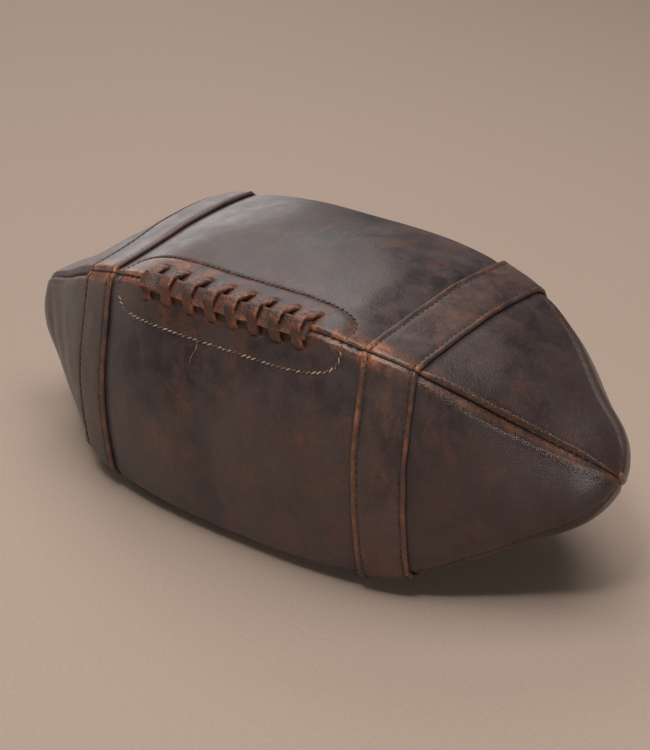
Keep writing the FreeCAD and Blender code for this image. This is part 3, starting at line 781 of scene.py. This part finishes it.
def strap_loops(centres, normals, width, thickness, seed):
    """Rounded strap cross-sections along a centre line, and how near each point is to the strap's
    edges, from -1 on one side to 1 on the other."""
    rows = len(centres)
    directions = unit(np.gradient(centres, axis=0))
    sides = unit(np.cross(directions, normals))
    ups = np.cross(sides, directions)
    corners = 24
    angle = np.linspace(0, 2 * np.pi, corners, endpoint=False)
    cs, sn = np.cos(angle), np.sin(angle)
    flat = np.sign(cs) * np.abs(cs) ** 0.5
    tall = np.sign(sn) * np.abs(sn) ** 0.6
    loops = np.zeros((rows, corners, 3))
    for i in range(rows):
        rough = np.array([stray(seed * 3.7 + i * 0.22, w * 1.6, h * 1.1) for w, h in zip(flat, tall)])
        half_w = width / 2 * (1 + 0.06 * stray(i * 0.15, seed, 0.0))
        half_t = thickness / 2
        cup = 0.14 * thickness * (flat ** 2 - 0.4)
        loops[i] = (centres[i] + sides[i] * (flat * half_w * (1 + 0.10 * rough))[:, None]
                    + ups[i] * (tall * half_t * (1 + 0.25 * rough) + cup)[:, None])
    return loops, np.repeat(flat[None, :], rows, 0)


def make_strand():
    """The flat strand along the seam, which lies over the first crossing and under the others."""
    x = np.linspace(STRAND_START, STRAND_END, 130)
    top = over_seam(x, 0 * x + 2.6, 0.45)
    front = over_seam(x, 0 * x - 2.6, 0.45)
    across = unit(top - front)
    normals = unit(np.cross(across, np.gradient(top + front, axis=0)))
    outward = (top + front) / 2 - np.array([0, 0, AXIS_HEIGHT])
    normals *= np.sign((normals * outward).sum(1))[:, None]
    drift = -0.7 + 0.5 * np.array([stray(v * 0.08, 2.0, 8.0) for v in x.tolist()])
    rise = 1.15 + 1.5 * hump(x, LACE_START, 4.0) - 3.6 * smooth(x, STRAND_END - 2.5, STRAND_END + 1.5)
    rise = rise - 2.6 * (1 - smooth(x, STRAND_START - 1.5, STRAND_START + 1.2))
    centres = (top + front) / 2 + across * drift[:, None] + normals * rise[:, None]
    loops, _ = strap_loops(centres, normals, STRAND_WIDTH, LACE_THICKNESS, 31)
    lean = ((loops - centres[:, None, :]) * across[:, None, :]).sum(-1) / (STRAND_WIDTH / 2)
    patchy = np.clip(0.7 + 0.9 * rumple(loops, 4.0, 67), 0, 1)
    wear = patchy * (1.2 * hump(lean, -1.0, 0.34) + 0.50 * hump(lean, 1.0, 0.25)
                     + 0.30 * smooth(rumple(loops, 3.0, 71), 0.0, 0.5))
    obj = tube("lace_strand_leather", loops, {"wear": np.clip(wear, 0, 1)})
    return stand_in(obj, "lace_strand")


# Centre line of a crossing lace as (arc, height), front hole to seam and seam to top hole.
CROSSING_FRONT = ((-7.4, -3.4), (-7.35, -1.2), (-7.0, 0.7), (-6.0, 1.45), (-4.7, 1.8), (-3.6, 2.8),
                  (-2.0, 3.5))
CROSSING_TOP = ((2.0, 3.5), (3.8, 2.6), (5.4, 1.6), (6.9, 1.25), (8.0, 0.75), (8.8, -0.1),
                (9.25, -1.3), (9.4, -3.0))
FIRST_CROSSING_LEVEL = 1.15     # the strand lies over the first crossing, which stays low


def make_crossing(index):
    """A crossing lace, up out of one hole and down into the other."""
    x_middle = LACE_START + LACE_PITCH * index
    jitter = 0.45 * stray(index * 2.3, 0.4, 9.1)
    longer = 0.45 * stray(index * 1.9, 7.4, 3.1)
    keys = []
    for arc, height in CROSSING_FRONT + CROSSING_TOP:
        if index == 0:
            height = min(height, FIRST_CROSSING_LEVEL)
        x = x_middle + jitter * arc / 8.0
        keys.append(over_seam(np.array(x), np.array(arc * (1 + longer / 8.0)), np.array(height)))
    keys = np.array(keys)
    centres = even_path(keys, 90, 9)
    along = np.gradient(centres, axis=0)
    normals = unit(np.cross(np.array([1.0, 0.0, 0.0]), along))
    middle = len(centres) // 2
    middle_out = centres[middle] - np.array([x_middle, 0, AXIS_HEIGHT])
    normals *= np.sign((normals[middle] * middle_out).sum())
    loops, side = strap_loops(centres, normals, LACE_WIDTH, LACE_THICKNESS, index + 1)
    share = np.linspace(0, 1, len(centres))[:, None] + 0 * side
    ends = hump(np.minimum(share, 1 - share), 0, 0.22)
    patchy = np.clip(0.55 + 1.0 * rumple(loops, 3.2, 73 + index), 0, 1)
    wear = patchy * (0.80 * np.abs(side) ** 4 + 0.7 * ends + 0.42)
    obj = tube("lace_crossing_%d_leather" % (index + 1), loops, {"wear": np.clip(wear, 0, 1)})
    return stand_in(obj, "lace_crossing_%d" % (index + 1))


# ---- tips ----
def make_end_patch(name, side):
    """Small leather disc behind the four panel points."""
    angle = np.linspace(0, 2 * np.pi, 40, endpoint=False)
    ragged = 1 + 0.03 * np.array([stray(math.cos(a), math.sin(a), 4.0) for a in angle])
    loops = np.zeros((len(END_PATCH_RINGS), len(angle), 3))
    for loop, (step, radius) in zip(loops, END_PATCH_RINGS):
        loop[:, 0] = side * (END_PATCH_PLACE + step)
        loop[:, 1] = radius * ragged * np.cos(angle)
        loop[:, 2] = AXIS_HEIGHT + radius * ragged * np.sin(angle)
    obj = tube("end_patch_%s_leather" % name, loops, {})
    return stand_in(obj, "end_patch_" + name)


def make_tab(name, side):
    """The folded end of a welt, poking out between the panel points."""
    x = np.linspace(-1.2, 1, 16)
    centres = np.stack([side * (HALF_LENGTH + 0.95 * x), 0.25 * x, AXIS_HEIGHT + 1.2 + 0.3 * x], -1)
    normals = np.zeros_like(centres) + np.array([0.0, 1.0, 0.0])
    loops, lean = strap_loops(centres, normals, TAB_WIDTH, TAB_THICKNESS, 91)
    ends = 1 - 0.35 * np.clip(np.abs(x) - 0.5, 0, 1)[:, None, None]
    loops = centres[:, None, :] + (loops - centres[:, None, :]) * ends
    obj = tube("tip_tab_%s_leather" % name, loops, {"wear": 0.6 * np.abs(lean)})
    return stand_in(obj, "tip_tab_" + name)


# ---- materials ----
class Nodes:
    """Short calls for building one material's node tree."""

    def __init__(self, name):
        self.material = bpy.data.materials.new(name)
        self.material.use_nodes = True
        self.tree = self.material.node_tree
        self.tree.nodes.clear()
        self.shader = self.add("BsdfPrincipled")
        self.add("OutputMaterial", Surface=self.shader.outputs["BSDF"])
        self.coordinates = self.add("TexCoord").outputs["Object"]

    def link(self, value, socket):
        if hasattr(value, "is_output"):
            self.tree.links.new(value, socket)
        else:
            socket.default_value = value

    def add(self, kind, **inputs):
        """A new node, with an output linked or a value set for each named input."""
        node = self.tree.nodes.new("ShaderNode" + kind)
        for name, value in inputs.items():
            self.link(value, node.inputs[name.replace("_", " ")])
        return node

    def attribute(self, name):
        node = self.add("Attribute")
        node.attribute_name = name
        return node.outputs["Fac"]

    def axes(self):
        """The x, y and z of a point."""
        return self.add("SeparateXYZ", Vector=self.coordinates).outputs

    def stretch(self, scale, turn=(0.0, 0.0, 0.0)):
        return self.add("Mapping", Vector=self.coordinates, Scale=scale, Rotation=turn).outputs["Vector"]

    def noise(self, scale, detail=4.0, roughness=0.55, distortion=0.0, vector=None):
        node = self.add("TexNoise", Vector=vector or self.coordinates, Scale=scale, Detail=detail,
                        Roughness=roughness, Distortion=distortion)
        return node.outputs["Fac"]

    def cells(self, scale, feature):
        node = self.add("TexVoronoi")
        node.feature = feature
        self.link(self.coordinates, node.inputs["Vector"])
        self.link(scale, node.inputs["Scale"])
        return node.outputs["Distance"]

    def math(self, operation, a, b=0.0, clamp=False):
        node = self.add("Math")
        node.operation = operation
        node.use_clamp = clamp
        for value, socket in zip((a, b), node.inputs):
            self.link(value, socket)
        return node.outputs["Value"]

    def times(self, a, b):
        return self.math("MULTIPLY", a, b)

    def ramp(self, value, low, high, start=0.0, end=1.0):
        """Maps low..high smoothly to start..end."""
        node = self.add("MapRange")
        node.interpolation_type = "SMOOTHSTEP"
        for number, name in ((value, "Value"), (low, "From Min"), (high, "From Max"),
                             (start, "To Min"), (end, "To Max")):
            self.link(number, node.inputs[name])
        return node.outputs["Result"]

    def mix(self, share, a, b):
        """Colour a where share is 0, and b where it is 1."""
        node = self.add("Mix")
        node.data_type = "RGBA"
        self.link(share, node.inputs["Factor"])
        for value, key in ((a, "A"), (b, "B")):
            self.link(value, [s for s in node.inputs if s.name == key and s.type == "RGBA"][0])
        return [s for s in node.outputs if s.type == "RGBA"][0]

    def bump(self, height, strength, distance, **normal):
        node = self.add("Bump", Height=height, Strength=strength, Distance=distance, **normal)
        return node.outputs["Normal"]

    def finish(self, color, roughness, normal, **plain):
        for name, value in dict(plain, Base_Color=color, Roughness=roughness, Normal=normal).items():
            self.link(value, self.shader.inputs[name.replace("_", " ")])
        return self.material


def srgb(red, green, blue):
    """A colour given as 0 to 255 display values, as linear RGBA."""
    def linear(v):
        v /= 255.0
        return v / 12.92 if v <= 0.04045 else ((v + 0.055) / 1.055) ** 2.4
    return (linear(red), linear(green), linear(blue), 1.0)


def leather(name, dark, light, rust, rust_gain, grain_size, grain_depth, gloss, brown, warm=None):
    """Waxed, distressed leather: mottled colour, rust-brown wear, scratches, pores and wrinkles, and painted
    shade in the seam creases and at the lace holes. The warm colour takes over towards the ball's right end."""
    n = Nodes(name)
    broad = n.noise(16.0, 5.0, 0.6, 0.4)
    mottle = n.noise(95.0, 7.0, 0.68, 0.6)
    speck = n.noise(1500.0, 3.0, 0.6)
    color = n.mix(n.ramp(broad, 0.36, 0.66), dark, light)
    color = n.mix(n.ramp(mottle, 0.38, 0.66, 0.0, 0.60), color, light)
    streak = n.noise(130.0, 6.0, 0.75, 0.3, n.stretch((1.0, 0.45, 0.30)))
    color = n.mix(n.ramp(streak, 0.48, 0.70, 0.0, 0.62), color, brown)
    color = n.mix(n.ramp(speck, 0.40, 0.72, 0.0, 0.42), color, dark)
    scuff = n.times(n.ramp(n.noise(24.0, 6.0, 0.72, 1.2), 0.54, 0.74),
                   n.ramp(n.noise(420.0, 4.0, 0.7), 0.42, 0.66))
    patchy = n.ramp(n.noise(260.0, 7.0, 0.78, 0.7), 0.34, 0.62, 0.10, 1.20)
    patchy = n.times(patchy, n.ramp(n.noise(1300.0, 4.0, 0.7), 0.30, 0.60, 0.45, 1.15))
    wear = n.times(n.attribute("wear"), patchy)
    rusty = n.math("ADD", n.times(wear, rust_gain), n.times(scuff, 0.46), clamp=True)
    dark_rust = tuple(0.42 * channel for channel in rust[:3]) + (1.0,)
    color = n.mix(n.ramp(rusty, 0.04, 0.40, 0.0, 0.85), color, dark_rust)
    rusty = n.ramp(rusty, 0.30, 1.10)
    color = n.mix(rusty, color, rust)
    thin = n.noise(130.0, 2.0, 0.5, 1.5, n.stretch((1.0, 0.16, 0.16), (0.3, 0.5, 0.7)))
    thin_2 = n.noise(170.0, 2.0, 0.5, 1.2, n.stretch((0.14, 1.0, 0.8), (0.8, 0.2, 0.4)))
    line = n.math("MAXIMUM", n.ramp(n.math("ABSOLUTE", n.math("SUBTRACT", thin, 0.5)), 0.0, 0.006, 1.0, 0.0),
                  n.ramp(n.math("ABSOLUTE", n.math("SUBTRACT", thin_2, 0.5)), 0.0, 0.005, 1.0, 0.0))
    line = n.times(line, n.ramp(mottle, 0.50, 0.62))
    color = n.mix(n.times(line, 0.22), color, light)
    if warm is not None:
        right = n.times(n.ramp(n.axes()["X"], 0.055, 0.10), n.ramp(mottle, 0.35, 0.62, 0.25, 0.62))
        color = n.mix(right, color, warm)
    # Painted shade: near-black mixed in along the seam creases and at the lace holes.
    color = n.mix(n.times(n.attribute("crease_shade"), 0.85), color, srgb(18, 11, 9))
    pores = n.cells(1.0 / grain_size, "F1")
    cracks = n.cells(0.45 / grain_size, "DISTANCE_TO_EDGE")
    height = n.math("ADD", n.times(pores, 0.7), n.times(n.ramp(cracks, 0.0, 0.10), 0.18))
    height = n.math("ADD", height, n.times(speck, 0.35))
    height = n.math("SUBTRACT", height, n.times(line, 0.25))
    normal = n.bump(mottle, 0.4, 0.0005)
    normal = n.bump(height, 0.55, grain_depth, Normal=normal)
    polish = n.attribute("polish")
    wrinkle = n.times(n.noise(2300.0, 2.0, 0.5, 0.0, n.stretch((0.6, 1.0, 1.0))), polish)
    normal = n.bump(wrinkle, 0.5, 0.0004, Normal=normal)
    rough = n.math("ADD", n.ramp(mottle, 0.3, 0.7, gloss - 0.08, gloss + 0.08), n.times(rusty, 0.08))
    rough = n.math("SUBTRACT", rough, n.times(polish, 0.24))
    return n.finish(color, rough, normal, Specular_IOR_Level=0.42, Coat_Weight=0.10, Coat_Roughness=0.34,
                    Sheen_Weight=0.06, Sheen_Roughness=0.5)


def thread(name, dark, light):
    """Waxed twisted thread."""
    n = Nodes(name)
    twist = n.noise(2600.0, 3.0, 0.6, 0.0, n.stretch((1.0, 1.0, 1.0), (0.6, 0.4, 0.2)))
    color = n.mix(n.ramp(n.noise(300.0, 3.0), 0.35, 0.65), dark, light)
    color = n.mix(n.ramp(twist, 0.4, 0.7, 0.0, 0.4), color, dark)
    return n.finish(color, n.ramp(twist, 0.3, 0.7, 0.5, 0.7), n.bump(twist, 0.6, 0.00015),
                    Specular_IOR_Level=0.35, Sheen_Weight=0.15)


def cloth(name, dark, light, pitch):
    """Plain woven cotton: two crossing sets of yarns."""
    n = Nodes(name)
    axes = n.axes()
    turns = 2 * math.pi / pitch
    round_ball = n.math("ARCTAN2", n.math("SUBTRACT", axes["Z"], AXIS_HEIGHT * MM), axes["Y"])
    warp = n.math("SINE", n.times(axes["X"], turns))
    weft = n.math("SINE", n.times(round_ball, turns * 0.06))
    weave = n.times(warp, weft)
    color = n.mix(n.ramp(weave, -1.0, 1.0), dark, light)
    color = n.mix(n.ramp(n.noise(60.0, 5.0), 0.3, 0.7, 0.0, 0.5), color, dark)
    return n.finish(color, n.ramp(weave, -1.0, 1.0, 0.8, 0.92), n.bump(weave, 0.5, 0.0002),
                    Sheen_Weight=0.3)


def rubber(name, dark, light):
    """Matt moulded rubber, dusted with talc."""
    n = Nodes(name)
    dust = n.noise(55.0, 6.0, 0.65, 0.3)
    fine = n.noise(900.0, 3.0)
    color = n.mix(n.ramp(dust, 0.38, 0.7), dark, light)
    return n.finish(color, n.ramp(dust, 0.3, 0.7, 0.55, 0.8), n.bump(fine, 0.3, 0.0001),
                    Specular_IOR_Level=0.4)


def floor_paper(name):
    """Plain pale backdrop paper."""
    n = Nodes(name)
    fibre = n.noise(700.0, 4.0, 0.6)
    color = n.mix(n.ramp(fibre, 0.3, 0.7), srgb(158, 139, 125), srgb(164, 145, 131))
    return n.finish(color, n.ramp(fibre, 0.3, 0.7, 0.8, 0.9), n.bump(fibre, 0.1, 0.0001),
                    Specular_IOR_Level=0.2)


def paint(objects, material):
    for obj in objects:
        obj.data.materials.clear()
        obj.data.materials.append(material)


# ---- stage, light and camera ----
def make_floor():
    """A wide sheet of backdrop paper."""
    half = 4000.0
    points = np.array([(-half, -half, 0), (half, -half, 0), (half, half, 0), (-half, half, 0)], float)
    floor = new_object("floor", points, [[0, 1, 2, 3]], {}, smooth_shading=False)
    paint([floor], floor_paper("floor_paper"))


def aim(obj, target):
    """Points a lamp or the camera at a place."""
    direction = Vector(target) - obj.location
    obj.rotation_euler = direction.to_track_quat("-Z", "Y").to_euler()


def area_light(name, location, target, size, power, color):
    data = bpy.data.lights.new(name, "AREA")
    data.shape = "RECTANGLE"
    data.size, data.size_y = size
    data.energy = power
    data.color = color
    light = bpy.data.objects.new(name, data)
    light.location = location
    aim(light, target)
    bpy.context.scene.collection.objects.link(light)


CAMERA_AZIMUTH = 36.9
CAMERA_ELEVATION = 27.2
CAMERA_DISTANCE = 0.709
CAMERA_TARGET = (0.0087, 0.0, 0.0555)
CAMERA_LENS = 86.4
SENSOR_WIDTH = 36.0
ROOM_GLOW = 0.07            # light from all sides
BALL = (0.0, 0.0, 0.05)
# Lamps as (name, place, target, size, power, colour), in metres and watts.
LAMPS = (("overhead", (0.06, -0.08, 1.2), BALL, (1.2, 0.9), 13.0, (1.0, 0.98, 0.97)),
         ("kicker", (0.13, -0.48, 1.0), BALL, (0.22, 0.10), 3.0, (1.0, 0.98, 0.96)),
         ("glint", (0.92, -0.50, 0.30), (0.10, -0.02, 0.06), (0.09, 0.34), 2.0, (1.0, 0.98, 0.96)),
         ("sheen", (-0.55, 0.50, 1.00), BALL, (0.6, 0.5), 4.0, (1.0, 0.97, 0.96)),
         ("back_left", (-1.15, 0.95, 0.30), BALL, (0.7, 0.45), 2.6, (1.0, 0.98, 0.97)),
         ("front_low", (0.25, -1.25, 0.20), BALL, (0.9, 0.25), 1.6, (1.0, 0.95, 0.93)),
         ("left_low", (-1.2, -0.45, 0.16), BALL, (0.4, 0.2), 1.0, (1.0, 0.98, 0.98)))


def make_camera():
    azimuth, elevation = math.radians(CAMERA_AZIMUTH), math.radians(CAMERA_ELEVATION)
    level = math.cos(elevation)
    back = Vector((math.sin(azimuth) * level, -math.cos(azimuth) * level, math.sin(elevation)))
    data = bpy.data.cameras.new("camera")
    data.lens = CAMERA_LENS
    data.sensor_width = SENSOR_WIDTH
    data.clip_start = 0.01
    camera = bpy.data.objects.new("camera", data)
    camera.location = Vector(CAMERA_TARGET) + back * CAMERA_DISTANCE
    aim(camera, CAMERA_TARGET)
    bpy.context.scene.collection.objects.link(camera)
    bpy.context.scene.camera = camera


def make_lights():
    world = bpy.data.worlds.new("studio")
    world.use_nodes = True
    background = world.node_tree.nodes["Background"]
    background.inputs["Color"].default_value = (1.0, 0.97, 0.93, 1.0)
    background.inputs["Strength"].default_value = ROOM_GLOW
    bpy.context.scene.world = world
    for lamp in LAMPS:
        area_light(*lamp)
    bpy.context.scene.view_settings.view_transform = "Standard"


def main():
    make_camera()
    make_lights()
    make_floor()

    panels = [make_panel(panel) for panel in PANELS]
    linings = [make_lining(panel) for panel in PANELS]
    patches = [make_lace_patch(panel) for panel in ("front", "top")]
    bladder = make_bladder()
    bands, band_threads = [], []
    for name, centre in BAND_CENTRES.items():
        bands += [make_band(name, centre, panel) for panel in PANELS]
        band_threads.append(band_stitches(name, centre))
    ovals = {panel: oval_stitches(panel) for panel in ("front", "top")}
    laces = [make_strand()] + [make_crossing(index) for index in range(LACE_COUNT)]
    seams = [seam_thread(*names) for names in (("back", "top", "back_top"), ("top", "front", "laced"),
                                              ("front", "bottom", "bottom_front"),
                                              ("bottom", "back", "back_bottom"))]
    ends = [make_end_patch(name, side) for name, side in (("left", -1), ("right", 1))]
    tabs = [make_tab(name, side) for name, side in (("left", -1), ("right", 1))]

    paint(panels, leather("panel_leather", srgb(30, 22, 22), srgb(72, 56, 54), srgb(142, 86, 54),
                          1.0, 0.0008, 0.00017, 0.42, srgb(96, 58, 43), warm=srgb(46, 30, 26)))
    paint(bands, leather("band_leather", srgb(39, 27, 26), srgb(80, 59, 54), srgb(146, 90, 58),
                         1.0, 0.0008, 0.00017, 0.42, srgb(104, 70, 52)))
    paint(laces, leather("lace_leather", srgb(42, 26, 20), srgb(82, 50, 37), srgb(136, 77, 48),
                         1.1, 0.0008, 0.0004, 0.48, srgb(120, 72, 44)))
    paint(band_threads + seams, thread("dark_thread", srgb(30, 19, 15), srgb(74, 46, 34)))
    paint([ovals["top"]], thread("brown_thread", srgb(50, 31, 24), srgb(112, 70, 50)))
    paint([ovals["front"]], thread("tan_thread", srgb(80, 56, 44), srgb(178, 150, 128)))

    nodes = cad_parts
    paint(linings, cloth("lining_cotton", srgb(150, 132, 104), srgb(196, 180, 150), 0.0011))
    paint([bladder] + [nodes[name] for name in ("bladder_stem", "stem_plug")],
          rubber("bladder_rubber", srgb(96, 40, 32), srgb(138, 84, 72)))
    paint(patches + ends + [nodes["lace_tongue"]],
          leather("inner_leather", srgb(84, 58, 42), srgb(126, 94, 70), srgb(150, 100, 64),
                  0.6, 0.0012, 0.0003, 0.66, srgb(120, 84, 58)))
    paint([nodes["stem_tie"]], thread("tie_thread", srgb(120, 98, 70), srgb(170, 148, 116)))
    paint(tabs, leather("tab_leather", srgb(76, 49, 37), srgb(122, 86, 66), srgb(146, 92, 60),
                        0.8, 0.0009, 0.0003, 0.5, srgb(120, 76, 50)))


main()
